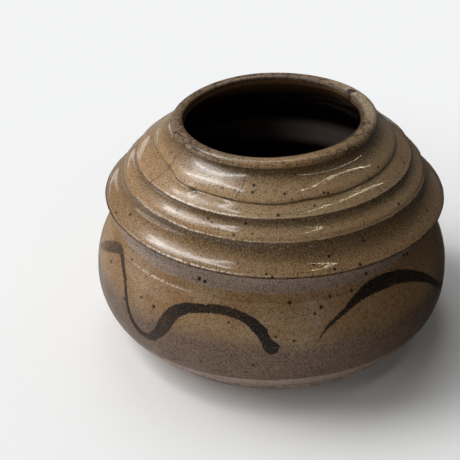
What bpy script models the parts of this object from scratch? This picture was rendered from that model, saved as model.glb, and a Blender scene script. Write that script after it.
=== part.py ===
"""Water jar: a low, wide stoneware jar with a stepped shoulder and a rolled lip.

The jar is drawn as the rings of clay that a potter makes and joins: a foot ring,
a base slab, the lower and upper bowl, a waist band, four shoulder courses that each
overhang the one below, and the lip. Every ring is a profile turned about the jar's axis,
and each joint between two rings is a lap: the lower ring has a tongue on its
inner half, and the upper ring has the rebate that sits over it.

Metres, +Z up. The origin is the middle of the foot's underside.
"""
import math

import bpy

MM = 0.001

# Turning
TURN_STEPS = 48
ROLL_STEPS = 5
HEEL_STEPS = 7
FLOOR_STEPS = 4
LIP_STEPS = 3
WELD_DISTANCE = 0.01 * MM

# The belly's upper curve, of which the waist band takes the first part
SHELL_STEPS = 12
WAIST_STEPS = 5

# Joints between rings
SEAM_GAP = 0.3 * MM
LAP_HEIGHT = 1.6 * MM
TONGUE_SHARE = 0.5

# Foot ring
FOOT_INSET = 17.6 * MM
FOOT_HEIGHT = 6.2 * MM
FOOT_WIDTH = 10.0 * MM
FOOT_CHAMFER = 0.9 * MM

# Base slab
BASE_THICKNESS = 7.0 * MM
BASE_REST_WIDTH = 4.0 * MM
BASE_CHAMFER = 0.8 * MM

# Lower and upper bowl, which meet at the widest part of the belly
WALL_THICKNESS = 7.0 * MM
BELLY_SWELL = 14.6 * MM
BELLY_RISE = 26.8 * MM
BOWL_LEDGE = 2.0 * MM
BELLY_DROP_SHARE = 0.47
HEEL_DROP_SHARE = 0.09
HEEL_REACH_SHARE = 0.62
FLOOR_CURVE_SHARE = 0.55

# Waist band
WAIST_RISE = 40.5 * MM
WAIST_COLLAR = 1.5 * MM
WAIST_PULL_SHARE = 0.26
BELLY_PULL_SHARE = 0.667

# Shoulder courses, each with an overhanging lower edge and each reaching out past the
# course above it. Course 1 is the lowest, and its sharp edge overhangs the waist
SHOULDER_WALL = 8.5 * MM
OVERHANG = 0.7 * MM
EDGE_FACE = 0.8 * MM
UNDERCUT_RISE = 3.5 * MM
COURSE_1_OVERHANG = 8.7 * MM
COURSE_1_REACH = 10.6 * MM
COURSE_1_HEIGHT = 13.8 * MM
COURSE_2_REACH = 7.4 * MM
COURSE_2_HEIGHT = 9.1 * MM
COURSE_3_REACH = 6.7 * MM
COURSE_3_HEIGHT = 5.2 * MM
COURSE_4_REACH = 14.3 * MM
COURSE_4_HEIGHT = 11.5 * MM

# How far the valley at a course's top and the roll at its foot pull its curve
COURSE_1_PULL_SHARES = (0.42, 0.38)
COURSE_2_PULL_SHARES = (0.30, 0.48)
COURSE_3_PULL_SHARES = (0.15, 0.60)
COURSE_4_PULL_SHARES = (0.14, 0.45)

# Rolled lip
MOUTH_RADIUS = 47.5 * MM
LIP_WIDTH = 9.2 * MM
LIP_HEIGHT = 4.9 * MM
LIP_OUTER_ROUND = 1.7 * MM
LIP_INNER_ROUND = 1.2 * MM
LIP_ROUND_END = -30.0
LIP_TUCK = 2.4 * MM
GROOVE_DEPTH = 3.7 * MM
GROOVE_HEIGHT = 0.9 * MM

# Heights of the joints, each from the pieces below it
BELLY_HEIGHT = FOOT_HEIGHT + BELLY_RISE
WAIST_HEIGHT = BELLY_HEIGHT + WAIST_RISE
UNDERCUT_HEIGHT = WAIST_HEIGHT + WAIST_COLLAR
EDGE_HEIGHT = UNDERCUT_HEIGHT + UNDERCUT_RISE
COURSE_2_BASE = EDGE_HEIGHT + COURSE_1_HEIGHT
COURSE_3_BASE = COURSE_2_BASE + COURSE_2_HEIGHT
COURSE_4_BASE = COURSE_3_BASE + COURSE_3_HEIGHT
LIP_BASE = COURSE_4_BASE + COURSE_4_HEIGHT
JAR_HEIGHT = LIP_BASE + LIP_HEIGHT

# Outer radii, each from the piece above it
LIP_RADIUS = MOUTH_RADIUS + LIP_WIDTH
GROOVE_RADIUS = LIP_RADIUS - GROOVE_DEPTH
COURSE_4_RADIUS = GROOVE_RADIUS + COURSE_4_REACH
COURSE_3_RADIUS = COURSE_4_RADIUS + COURSE_3_REACH
COURSE_2_RADIUS = COURSE_3_RADIUS + COURSE_2_REACH
COURSE_1_RADIUS = COURSE_2_RADIUS + COURSE_1_REACH
WAIST_RADIUS = COURSE_1_RADIUS - COURSE_1_OVERHANG
BELLY_RADIUS = WAIST_RADIUS + BELLY_SWELL
FOOT_RADIUS = BELLY_RADIUS - FOOT_INSET
BASE_RADIUS = FOOT_RADIUS - FOOT_WIDTH + BASE_REST_WIDTH
BOWL_FOOT_RADIUS = FOOT_RADIUS + BOWL_LEDGE

# Colours as linear red, green and blue
SHOULDER_GLAZE = (0.24, 0.155, 0.085)
LIP_GLAZE = (0.21, 0.135, 0.08)
WAIST_GLAZE = (0.14, 0.105, 0.09)
BELLY_GLAZE = (0.17, 0.11, 0.065)
FLOOR_GLAZE = (0.05, 0.035, 0.025)
BARE_CLAY = (0.33, 0.26, 0.21)


def bezier(start, pull_start, pull_end, end, steps):
    """Points of a cubic curve from start to end, both included."""
    corners = (start, pull_start, pull_end, end)
    points = []
    for i in range(steps + 1):
        t = i / steps
        u = 1 - t
        weights = (u * u * u, 3 * u * u * t, 3 * u * t * t, t * t * t)
        radius = sum(w * c[0] for w, c in zip(weights, corners))
        height = sum(w * c[1] for w, c in zip(weights, corners))
        points.append((radius, height))
    return points


def falling_curve(start, end, start_share, end_share, steps):
    """A curve that leaves start and reaches end straight downwards.

    The shares of the drop set how long it stays upright at each end, so it is
    hollow under its start and full above its end.
    """
    drop = start[1] - end[1]
    pull_start = (start[0], start[1] - drop * start_share)
    pull_end = (end[0], end[1] + drop * end_share)
    return bezier(start, pull_start, pull_end, end, steps)


def arc(centre, radius, start_angle, end_angle, steps):
    """Points of an arc round centre, with angles in degrees from straight out."""
    points = []
    for i in range(steps + 1):
        angle = math.radians(start_angle + (end_angle - start_angle) * i / steps)
        points.append((centre[0] + radius * math.cos(angle), centre[1] + radius * math.sin(angle)))
    return points


def tongue_radius(outer, inner):
    """Radius where a lap joint steps up, between the wall's two faces."""
    return inner + (outer - inner) * TONGUE_SHARE


def tongue(outer, inner, height):
    """Top of a lower ring from its inner face outwards: the tongue, then the seat."""
    step = tongue_radius(outer, inner)
    return [(inner, height + LAP_HEIGHT), (step, height + LAP_HEIGHT), (step, height), (outer, height)]


def rebate(outer, inner, height):
    """Underside of an upper ring, from its seat inwards, one gap off the tongue below."""
    step = tongue_radius(outer, inner) + SEAM_GAP
    seat = height + SEAM_GAP
    return [(step, seat), (step, seat + LAP_HEIGHT), (inner, seat + LAP_HEIGHT)]


def shell_curve(inset):
    """The wall from the waist down to the widest part of the belly, inset from its outer face."""
    start = (WAIST_RADIUS - inset, WAIST_HEIGHT)
    end = (BELLY_RADIUS - inset, BELLY_HEIGHT)
    return falling_curve(start, end, WAIST_PULL_SHARE, BELLY_PULL_SHARE, SHELL_STEPS)


def belly_seam():
    """Outer radius, inner radius and height of the joint of lower and upper bowl."""
    return BELLY_RADIUS, BELLY_RADIUS - WALL_THICKNESS, BELLY_HEIGHT


def waist_seam():
    """Outer radius, inner radius and height of the joint of upper bowl and waist band."""
    outer, height = shell_curve(0.0)[WAIST_STEPS]
    inner = shell_curve(WALL_THICKNESS)[WAIST_STEPS - 1][0]
    return outer, inner, height


def foot_profile():
    """A low flat ring with its lower corners broken."""
    inner = FOOT_RADIUS - FOOT_WIDTH
    return [
        (FOOT_RADIUS, FOOT_HEIGHT),
        (FOOT_RADIUS, FOOT_CHAMFER),
        (FOOT_RADIUS - FOOT_CHAMFER, 0.0),
        (inner + FOOT_CHAMFER, 0.0),
        (inner, FOOT_CHAMFER),
        (inner, FOOT_HEIGHT),
    ]


def base_profile():
    """A disc that rests on the foot ring's inner half. It starts and ends on the axis."""
    bottom = FOOT_HEIGHT + SEAM_GAP
    top = bottom + BASE_THICKNESS
    return [
        (0.0, top),
        (BASE_RADIUS - BASE_CHAMFER, top),
        (BASE_RADIUS, top - BASE_CHAMFER),
        (BASE_RADIUS, bottom),
        (0.0, bottom),
    ]


def lower_bowl_profile():
    """From the widest part of the belly in to the foot ring, hollowed to meet the base slab."""
    outer, bore, widest = belly_seam()
    bottom = FOOT_HEIGHT + SEAM_GAP
    floor = bottom + BASE_THICKNESS
    rim = BASE_RADIUS + SEAM_GAP
    depth = widest - bottom
    reach = outer - BOWL_FOOT_RADIUS
    heel = bezier(
        (outer, widest),
        (outer, widest - depth * BELLY_DROP_SHARE),
        (BOWL_FOOT_RADIUS + reach * HEEL_REACH_SHARE, bottom + depth * HEEL_DROP_SHARE),
        (BOWL_FOOT_RADIUS, bottom),
        HEEL_STEPS,
    )
    cove = bezier(
        (rim, floor),
        (rim + (bore - rim) * FLOOR_CURVE_SHARE, floor),
        (bore, widest - (widest - floor) * FLOOR_CURVE_SHARE),
        (bore, widest),
        FLOOR_STEPS,
    )
    return heel[1:] + [(rim, bottom)] + cove + tongue(outer, bore, widest)


def upper_bowl_profile():
    """From the seam under the waist out to the widest part of the belly."""
    outer, bore, widest = belly_seam()
    outside = shell_curve(0.0)[WAIST_STEPS + 1:-1]
    inside = shell_curve(WALL_THICKNESS)[WAIST_STEPS + 1:-1:2]
    foot = [(outer, widest + SEAM_GAP)] + rebate(outer, bore, widest)
    return outside + foot + inside[::-1] + tongue(*waist_seam())


def waist_profile():
    """The band that curves in from the upper bowl to the undercut below the sharp edge."""
    outside = shell_curve(0.0)[:WAIST_STEPS]
    outer, inner, height = waist_seam()
    inside = shell_curve(WALL_THICKNESS)[:WAIST_STEPS - 1]
    neck = tongue(WAIST_RADIUS, WAIST_RADIUS - WALL_THICKNESS, UNDERCUT_HEIGHT)
    return outside + [(outer, height + SEAM_GAP)] + rebate(outer, inner, height) + inside[::-1] + neck


def course_profile(edge, seat, top, pull_shares):
    """One shoulder course: its curve falls from the ring above to its own overhanging edge.

    edge is the radius and height of that edge. seat and top are each the outer
    radius, inner radius and height of the joint below and above the course.
    """
    edge_radius, edge_height = edge
    start = (top[0], top[2])
    end = (edge_radius, edge_height + SEAM_GAP + EDGE_FACE)
    roll = falling_curve(start, end, *pull_shares, ROLL_STEPS)
    drip = [(edge_radius - OVERHANG, edge_height + SEAM_GAP)]
    return roll[1:] + drip + rebate(*seat) + tongue(*top)


def lip_profile(seat):
    """A flat-topped bead with a rounded outer edge, tucked in over the groove."""
    groove_top = LIP_BASE + SEAM_GAP + GROOVE_HEIGHT
    outer_centre = (LIP_RADIUS - LIP_OUTER_ROUND, JAR_HEIGHT - LIP_OUTER_ROUND)
    inner_centre = (MOUTH_RADIUS + LIP_INNER_ROUND, JAR_HEIGHT - LIP_INNER_ROUND)
    outside = arc(outer_centre, LIP_OUTER_ROUND, 90.0, LIP_ROUND_END, LIP_STEPS + 1)
    inside = arc(inner_centre, LIP_INNER_ROUND, 180.0, 90.0, LIP_STEPS)
    tuck = [
        (LIP_RADIUS - LIP_TUCK, groove_top),
        (GROOVE_RADIUS, groove_top - GROOVE_HEIGHT / 2),
        (GROOVE_RADIUS, LIP_BASE + SEAM_GAP),
    ]
    return outside + tuck + rebate(*seat) + inside


def clay(name, colour, roughness):
    """A fired-clay finish with no metal in it."""
    material = bpy.data.materials.new(name)
    material.use_nodes = True
    shader = material.node_tree.nodes["Principled BSDF"]
    shader.inputs["Base Color"].default_value = (*colour, 1.0)
    shader.inputs["Roughness"].default_value = roughness
    shader.inputs["Metallic"].default_value = 0.0
    material.diffuse_color = (*colour, 1.0)
    return material


def turned_ring(name, profile, material, collection, closed=True):
    """Turn a profile of (radius, height) points about the jar's axis."""
    vertices = [(radius, 0.0, height) for radius, height in profile]
    edges = [(i, i + 1) for i in range(len(vertices) - 1)]
    if closed:
        edges.append((len(vertices) - 1, 0))
    mesh = bpy.data.meshes.new(name)
    mesh.from_pydata(vertices, edges, [])
    mesh.materials.append(material)
    ring = bpy.data.objects.new(name, mesh)
    collection.objects.link(ring)
    turn = ring.modifiers.new("Turn", "SCREW")
    turn.axis = "Z"
    turn.angle = math.tau
    turn.screw_offset = 0.0
    turn.steps = TURN_STEPS
    turn.render_steps = TURN_STEPS
    turn.use_merge_vertices = True
    turn.merge_threshold = WELD_DISTANCE
    turn.use_smooth_shade = True
    return ring


def build_foot_and_base(jar):
    turned_ring("foot_ring", foot_profile(), clay("bare_foot_clay", BARE_CLAY, 0.75), jar)
    turned_ring("base_slab", base_profile(), clay("floor_glaze", FLOOR_GLAZE, 0.35), jar, closed=False)


def build_bowl(jar):
    turned_ring("lower_bowl", lower_bowl_profile(), clay("lower_belly_glaze", BELLY_GLAZE, 0.5), jar)
    turned_ring("upper_bowl", upper_bowl_profile(), clay("upper_belly_glaze", BELLY_GLAZE, 0.42), jar)
    turned_ring("waist_band", waist_profile(), clay("waist_glaze", WAIST_GLAZE, 0.5), jar)


def build_shoulder_and_lip(jar):
    """The courses from the lowest up, each seated on the joint at the top of the last."""
    radii = [COURSE_1_RADIUS, COURSE_2_RADIUS, COURSE_3_RADIUS, COURSE_4_RADIUS]
    heights = [EDGE_HEIGHT, COURSE_2_BASE, COURSE_3_BASE, COURSE_4_BASE]
    pulls = [COURSE_1_PULL_SHARES, COURSE_2_PULL_SHARES, COURSE_3_PULL_SHARES, COURSE_4_PULL_SHARES]
    joints = [(WAIST_RADIUS, WAIST_RADIUS - WALL_THICKNESS, UNDERCUT_HEIGHT)]
    for radius, height in zip(radii[1:], heights[1:]):
        joints.append((radius - OVERHANG, radius - SHOULDER_WALL, height))
    joints.append((GROOVE_RADIUS, MOUTH_RADIUS, LIP_BASE))
    for i, edge in enumerate(zip(radii, heights)):
        profile = course_profile(edge, joints[i], joints[i + 1], pulls[i])
        if i == 0:
            underside_end = (joints[0][0], joints[0][2] + SEAM_GAP)
            profile.insert(ROLL_STEPS + 1, underside_end)
        glaze = clay(f"shoulder_glaze_{i + 1}", SHOULDER_GLAZE, 0.32)
        turned_ring(f"shoulder_course_{i + 1}", profile, glaze, jar)
    turned_ring("rolled_lip", lip_profile(joints[-1]), clay("lip_glaze", LIP_GLAZE, 0.36), jar)


def main():
    for item in list(bpy.data.objects):
        bpy.data.objects.remove(item, do_unlink=True)
    jar = bpy.data.collections.new("water_jar")
    bpy.context.scene.collection.children.link(jar)
    build_foot_and_base(jar)
    build_bowl(jar)
    build_shoulder_and_lip(jar)


main()
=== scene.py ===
"""Looks of the water jar: the clay as it was thrown by hand, its glazes and iron brushwork.

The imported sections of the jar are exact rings. Here each one is turned again on a finer
profile, and then all of them are pressed, tilted and nudged by the same hand, so that
they still meet. Lengths in the named values are millimetres, angles degrees.
"""
import math

import bmesh
import bpy
import numpy as np
from mathutils import Matrix, Quaternion, Vector


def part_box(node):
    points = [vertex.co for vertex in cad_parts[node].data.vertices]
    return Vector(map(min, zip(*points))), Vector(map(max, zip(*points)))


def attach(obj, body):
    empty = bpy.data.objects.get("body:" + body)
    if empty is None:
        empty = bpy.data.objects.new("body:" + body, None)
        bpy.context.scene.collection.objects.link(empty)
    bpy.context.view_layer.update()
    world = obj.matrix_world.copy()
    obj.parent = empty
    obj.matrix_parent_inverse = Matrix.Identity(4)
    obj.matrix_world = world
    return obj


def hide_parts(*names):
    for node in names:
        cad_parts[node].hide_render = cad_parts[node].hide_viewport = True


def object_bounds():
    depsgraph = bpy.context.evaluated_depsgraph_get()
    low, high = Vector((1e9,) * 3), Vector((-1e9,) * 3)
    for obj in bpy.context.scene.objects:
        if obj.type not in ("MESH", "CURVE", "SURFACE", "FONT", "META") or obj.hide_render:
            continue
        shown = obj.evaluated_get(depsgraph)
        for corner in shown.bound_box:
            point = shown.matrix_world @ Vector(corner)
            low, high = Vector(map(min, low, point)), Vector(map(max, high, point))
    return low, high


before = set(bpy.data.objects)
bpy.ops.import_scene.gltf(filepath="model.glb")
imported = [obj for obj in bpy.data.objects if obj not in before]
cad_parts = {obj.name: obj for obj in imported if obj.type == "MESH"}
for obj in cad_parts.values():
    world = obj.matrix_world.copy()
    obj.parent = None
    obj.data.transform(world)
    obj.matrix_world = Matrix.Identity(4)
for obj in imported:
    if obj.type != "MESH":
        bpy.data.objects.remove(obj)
cad_low, cad_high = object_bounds()

MM = 0.001

# Turning: steps round the jar, and how far apart the points of a profile are
TURN_STEPS = 640
DOUBLINGS = 4
FINE_STEP = 0.55
BELLY_STEP = 0.7
INSIDE_STEP = 1.2
SLAB_STEP = 2.0
FOOT_STEP = 0.8
SAME_POINT = 0.001
WELD = 0.0005
SHARP_ANGLE = 38.0

# Profile of the jar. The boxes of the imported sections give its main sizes
TOP = cad_high.z / MM
FOOT_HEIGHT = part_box("foot_ring")[1].z / MM
FOOT_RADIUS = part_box("foot_ring")[1].x / MM
BASE_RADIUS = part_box("base_slab")[1].x / MM
FLOOR_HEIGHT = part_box("base_slab")[1].z / MM
BELLY_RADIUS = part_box("lower_bowl")[1].x / MM
LIP_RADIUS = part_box("rolled_lip")[1].x / MM
SEAM_GAP = 0.3


def joint_height(node):
    """Height of the joint under a section, which its box gives from the seat above the gap."""
    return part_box(node)[0].z / MM - SEAM_GAP


BELLY_HEIGHT = joint_height("upper_bowl")
SEAM_HEIGHT = joint_height("waist_band")
UNDERCUT_HEIGHT = joint_height("shoulder_course_1")
RIDGE_HEIGHTS = [joint_height("shoulder_course_%d" % n) for n in (2, 3, 4)]
RIDGE_RADII = [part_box("shoulder_course_%d" % n)[1].x / MM for n in (1, 2, 3, 4)]
LIP_BASE = TOP - 4.9
EDGE_HEIGHT = UNDERCUT_HEIGHT + 3.5

WAIST_RADIUS = 83.3
WAIST_TOP = UNDERCUT_HEIGHT - 1.5
RIDGE_OVERHANG = 0.7
RIDGE_ROUND = 0.55
RIDGE_FOOT = 2.2
LIP_JOINT = TOP - 4.3
LIP_SEEN_RADIUS = LIP_RADIUS - 1.3
LEDGE_HEIGHT = 61.6
UPPER_LEDGE_HEIGHT = 66.2
OUTER_WALL = 80.0
GROOVE_RADIUS = 53.0
MOUTH_RADIUS = 47.5
MOUTH_ROUND = 1.3
MOUTH_EDGE = TOP - 1.75
FOOT_WIDTH = 10.0
FOOT_ROUND = 1.2
BOWL_FOOT_RADIUS = FOOT_RADIUS + 2.0

# Light of the room on what is dull: bright from the left front, next to nothing from the right
ROOM_SIDE = (-0.70, -0.68, 0.20)
ROOM_DARK, ROOM_BRIGHT = 0.0, 0.03

# White of the room and of the floor, and the dim floor that lights the jar from its right
WHITE = (0.985, 0.99, 1.0, 1)
SEEN_WHITE = 0.91
FLOOR_WHITE = (0.95, 0.96, 0.975)
FLOOR_DIM = (0.05, 0.05, 0.05)

# Lamps, in metres, watts and degrees, each a flat light aimed at the shoulder. Those of the roof
# have width and power, and are stacked, which gives their streaks a soft edge. The others have
# azimuth, elevation, distance, width, height, power, lean, shape, whether the glaze mirrors them,
# and their colour if it isn't daylight
LAMP_AIM = (0, 0, 0.09)
DAYLIGHT = (1.0, 0.99, 0.975)
ROOF_WINDOWS = ((0.06, 1.6), (0.13, 1.8), (0.26, 1.8))
ROOF_GLOWS = ((0.7, 4.5), (1.2, 5.0), (1.9, 4.0))
LAMPS = (
    ("side_window", 163, 37, 2.4, 2.2, 1.3, 31.0, 0.0, "ELLIPSE", False),
    ("low_window", 180, 13, 2.4, 2.2, 0.9, 9.0, 0.0, "ELLIPSE", True),
    ("front_window", 257, 7, 2.4, 2.0, 0.8, 10.5, 0.0, "ELLIPSE", False),
    ("back_window", 96, 62, 2.4, 1.4, 1.4, 13.0, 0.0, "ELLIPSE", True),
    ("front_glow", 228, 48, 2.4, 1.5, 1.5, 4.0, 0.0, "ELLIPSE", False),
    ("front_fill", 296, 12, 2.4, 2.2, 1.3, 2.0, 0.0, "ELLIPSE", False),
    ("tube", 15.6, 58.5, 2.4, 2.0, 0.010, 2.2, -58.0, "RECTANGLE", True, (1.0, 0.93, 0.70)),
    ("far_window", 121, 7.5, 2.4, 0.11, 0.85, 0.32, -52.0, "ELLIPSE", True),
)

# Camera, as the photograph sees the jar
CAMERA_PLACE = (0.0, -615.9, 425.2)
CAMERA_YAW = 2.32
CAMERA_PITCH = 31.28
CAMERA_ROLL = -1.87
CAMERA_LENS = 100.17


def bezier(start, pull_start, pull_end, end, steps):
    """Points of a cubic curve, both ends included."""
    t = np.linspace(0.0, 1.0, steps + 1)[:, None]
    u = 1.0 - t
    corners = [np.array(c, float) for c in (start, pull_start, pull_end, end)]
    weights = (u ** 3, 3 * u * u * t, 3 * u * t * t, t ** 3)
    return sum(w * c for w, c in zip(weights, corners))


def falling(start, end, start_share, end_share, steps):
    """A curve that leaves start and reaches end straight downwards."""
    drop = start[1] - end[1]
    return bezier(start, (start[0], start[1] - drop * start_share),
                  (end[0], end[1] + drop * end_share), end, steps)


def arc(centre, radius, first, last, steps):
    """Points of an arc, with angles from straight out, upwards positive."""
    a = np.radians(np.linspace(first, last, steps + 1))
    return np.stack([centre[0] + radius * np.cos(a), centre[1] + radius * np.sin(a)], -1)


def even(path, step):
    """The same path with points an even step apart, its ends kept."""
    path = np.asarray(path, float)
    run = np.concatenate([[0.0], np.cumsum(np.hypot(*np.diff(path, axis=0).T))])
    count = max(2, int(round(run[-1] / step)) + 1)
    at = np.linspace(0.0, run[-1], count)
    return np.stack([np.interp(at, run, path[:, 0]), np.interp(at, run, path[:, 1])], -1)


def smooth_through(points, steps=24):
    """A smooth curve through a few points, as a spline with rounded corners."""
    p = np.array([points[0]] + list(points) + [points[-1]], float)
    t = np.linspace(0.0, 1.0, steps, endpoint=False)[:, None]
    runs = []
    for a, b, c, d in zip(p[:-3], p[1:-2], p[2:-1], p[3:]):
        runs.append(0.5 * (2 * b + (c - a) * t + (2 * a - 5 * b + 4 * c - d) * t * t
                           + (3 * b - a - 3 * c + d) * t ** 3))
    return np.vstack(runs + [p[-1:]])


def between(path, high, low):
    """The part of a falling path from one height down to another."""
    path = np.asarray(path, float)
    heights, radii = path[::-1, 1], path[::-1, 0]
    inner = path[(path[:, 1] < high - 1e-6) & (path[:, 1] > low + 1e-6)]
    ends = [(np.interp(h, heights, radii), h) for h in (high, low)]
    return np.vstack([ends[:1], inner, ends[1:]])


# Walls. The outside of the belly and of the inside wall run through several sections
BELLY_CURVE = np.vstack([
    falling((WAIST_RADIUS, WAIST_TOP), (BELLY_RADIUS, BELLY_HEIGHT), 0.26, 0.667, 90),
    bezier((BELLY_RADIUS, BELLY_HEIGHT), (BELLY_RADIUS, 20.5), (92.0, 9.0),
           (BOWL_FOOT_RADIUS, FOOT_HEIGHT), 60)[1:],
])
INSIDE_CURVE = smooth_through([
    (MOUTH_RADIUS, MOUTH_EDGE), (MOUTH_RADIUS, LIP_BASE + 0.8), (50.6, 115.2), (58.6, RIDGE_HEIGHTS[2]),
    (65.4, 101.9), (72.7, 92.6), (75.8, 84.0), (76.2, UNDERCUT_HEIGHT), (77.6, 68.0),
    (80.4, SEAM_HEIGHT), (87.0, 51.0), (90.6, 40.0), (90.9, BELLY_HEIGHT), (88.6, 23.0), (83.0, 16.8),
    (BASE_RADIUS, FLOOR_HEIGHT)])


def course_outside(upper_radius, top, lower_radius, bottom, shares, overhang=RIDGE_OVERHANG):
    """A shoulder course from the valley at its top to the rolled edge at its foot.

    The shares say how far it runs straight down at its top and at its foot.
    """
    start = (upper_radius - overhang, top)
    roll = arc((lower_radius - RIDGE_ROUND, bottom + RIDGE_ROUND), RIDGE_ROUND, 0, -90, 6)
    path = falling(start, (lower_radius, bottom + RIDGE_ROUND), *shares, 60)
    slope = even(between(path, top, bottom + RIDGE_FOOT), FINE_STEP)
    foot = even(between(path, bottom + RIDGE_FOOT, bottom + RIDGE_ROUND), FINE_STEP * 0.5)
    return np.vstack([slope, foot[1:], roll[1:]])


def lip_outside():
    """From the mouth's edge over the crowned top to the groove below the lip."""
    inner = arc((MOUTH_RADIUS + MOUTH_ROUND, MOUTH_EDGE), MOUTH_ROUND, 180, 95, 8)
    seen = LIP_SEEN_RADIUS
    crown = smooth_through([
        inner[-1], (50.4, TOP - 0.05), (seen - 2.6, TOP - 0.12), (seen - 1.8, TOP - 0.36),
        (seen - 1.1, TOP - 0.78), (seen - 0.5, TOP - 1.35), (seen, TOP - 2.3), (seen - 0.1, TOP - 3.1),
        (seen - 0.9, LIP_JOINT + 0.6), (GROOVE_RADIUS, LIP_JOINT)], 8)
    return np.vstack([inner, even(crown, FINE_STEP * 0.7)[1:]])


def all_outsides():
    """The outside of each section, top to bottom."""
    r1, r2, r3, r4 = RIDGE_RADII
    h2, h3, h4 = RIDGE_HEIGHTS
    edge = course_outside(r2, h2, r1, EDGE_HEIGHT, (0.66, 0.20))
    under = even([edge[-1], (WAIST_RADIUS, UNDERCUT_HEIGHT)], FINE_STEP)[1:]
    collar = even([(WAIST_RADIUS, UNDERCUT_HEIGHT), (WAIST_RADIUS, WAIST_TOP)], FINE_STEP)
    waist = even(between(BELLY_CURVE, WAIST_TOP, SEAM_HEIGHT), FINE_STEP)[1:]
    groove = GROOVE_RADIUS + RIDGE_OVERHANG
    return {
        "rolled_lip": lip_outside(),
        "shoulder_course_4": course_outside(groove, LIP_JOINT, r4, h4, (0.20, 0.25)),
        "shoulder_course_3": course_outside(r4, h4, r3, h3, (0.03, 0.24), 0.2),
        "shoulder_course_2": course_outside(r3, h3, r2, h2, (0.44, 0.38)),
        "shoulder_course_1": np.vstack([edge, under]),
        "waist_band": np.vstack([collar, waist]),
        "upper_bowl": even(between(BELLY_CURVE, SEAM_HEIGHT, BELLY_HEIGHT), BELLY_STEP),
        "lower_bowl": even(between(BELLY_CURVE, BELLY_HEIGHT, FOOT_HEIGHT), BELLY_STEP),
    }


OUTSIDES = all_outsides()

# The hand: how far the thrown clay strays from true, by height
STRAY_HEIGHTS = (0.0, 14.0, 30.0, 58.0, 74.0, 78.5, 92.3, 101.4, 106.6, 117.0, 123.0)
STRAY_SIDEWAYS = (0.0, -1.4, -2.2, -2.2, -0.4, 0.2, 0.1, 0.1, 0.1, 0.0, 0.0)
STRAY_TILT = (0.0, 0.0, 0.0, -0.25, -1.2, -1.5, -1.0, -0.65, -0.3, 0.2, 0.4)

# The wandering foot of the top course: how far it climbs the slope, by angle
CLIMB_ANGLES = (15, 60, 110, 150, 178, 200, 214, 224, 240, 256, 272, 284, 300, 330)
CLIMB = (1.2, 0.8, 1.4, 0.9, 1.9, 3.3, 2.7, 0.9, 0.8, 0.1, -0.3, 0.3, 0.2, 0.8)
CLIMB_SLOPE = 1.33

# Small bites along the steps, the sharp edge and the lip, each with its seed. The steps go upwards
STEP_BITES = ((0.34, 23), (0.22, 22), (0.10, 21))
EDGE_BITES = (0.16, 24)
LIP_BITES = (0.05, 25)

# How far the edge of each roll swells out, upwards, and how deep behind its crest
ROLL_SWELLS = (0.85, 0.8, 0.6)
ROLL_DEPTH = 6.0

# Touches of the fingers: how far out, at which angle and how wide, at which height and how wide
TOUCHES = (
    (-0.20, 305.0, 28.0, 115.2, 1.0),
    (1.15, 228.0, 24.0, 106.6, 1.25),
    (-0.12, 305.0, 30.0, 84.2, 1.6),
    (-1.1, 233.4, 1.7, 106.0, 0.9),
    (0.35, 230.4, 2.6, 107.6, 1.2),
)
# The fold in the mouth's edge and the swell beside it: how far out, at which angle and how wide
LIP_FOLDS = ((1.5, 27.0, 1.7), (-0.7, 21.5, 3.2))


def round_interpolation(angle, angles, values):
    """Smooth value at an angle from values given round the circle."""
    a = np.array(angles, float)
    v = np.array(values, float)
    a = np.concatenate([a[-2:] - 360, a, a[:2] + 360])
    v = np.concatenate([v[-2:], v, v[:2]])
    at = np.mod(angle, 360.0)
    k = np.clip(np.searchsorted(a, at) - 1, 1, len(a) - 3)
    t = (at - a[k]) / (a[k + 1] - a[k])
    slope = (v[2:] - v[:-2]) / (a[2:] - a[:-2])
    m0, m1 = slope[k - 1] * (a[k + 1] - a[k]), slope[k] * (a[k + 1] - a[k])
    return ((2 * t ** 3 - 3 * t ** 2 + 1) * v[k] + (t ** 3 - 2 * t ** 2 + t) * m0
            + (3 * t ** 2 - 2 * t ** 3) * v[k + 1] + (t ** 3 - t ** 2) * m1)


def ease(value, low, high):
    """0 below low, 1 above high, smooth between."""
    t = np.clip((value - low) / (high - low), 0.0, 1.0)
    return t * t * (3 - 2 * t)


def hump(value, centre, width):
    """A bell of height 1."""
    return np.exp(-((value - centre) / width) ** 2)


def waver(angle, height, seed, waves, climb=0.0):
    """A small smooth unevenness that closes round the jar, between about -1 and 1."""
    rng = np.random.default_rng(seed)
    total = np.zeros_like(angle)
    for n in waves:
        start = rng.uniform(0, 2 * math.pi)
        total += np.sin(np.radians(angle) * n + climb * height + start) / len(waves) ** 0.5
    return total


def chipped(angle, seed, count=240):
    """A rough unevenness along an edge, in small bites, between about -1 and 1."""
    values = np.random.default_rng(seed).normal(0, 0.5, count)
    big = np.random.default_rng(seed + 100).normal(0, 0.5, count // 5)
    spot = np.mod(angle, 360.0) / 360.0
    fine = np.interp(spot * count, np.arange(count + 1), np.append(values, values[0]))
    slow = np.interp(spot * (count // 5), np.arange(count // 5 + 1), np.append(big, big[0]))
    return fine * 0.7 + slow * 0.8


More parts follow.
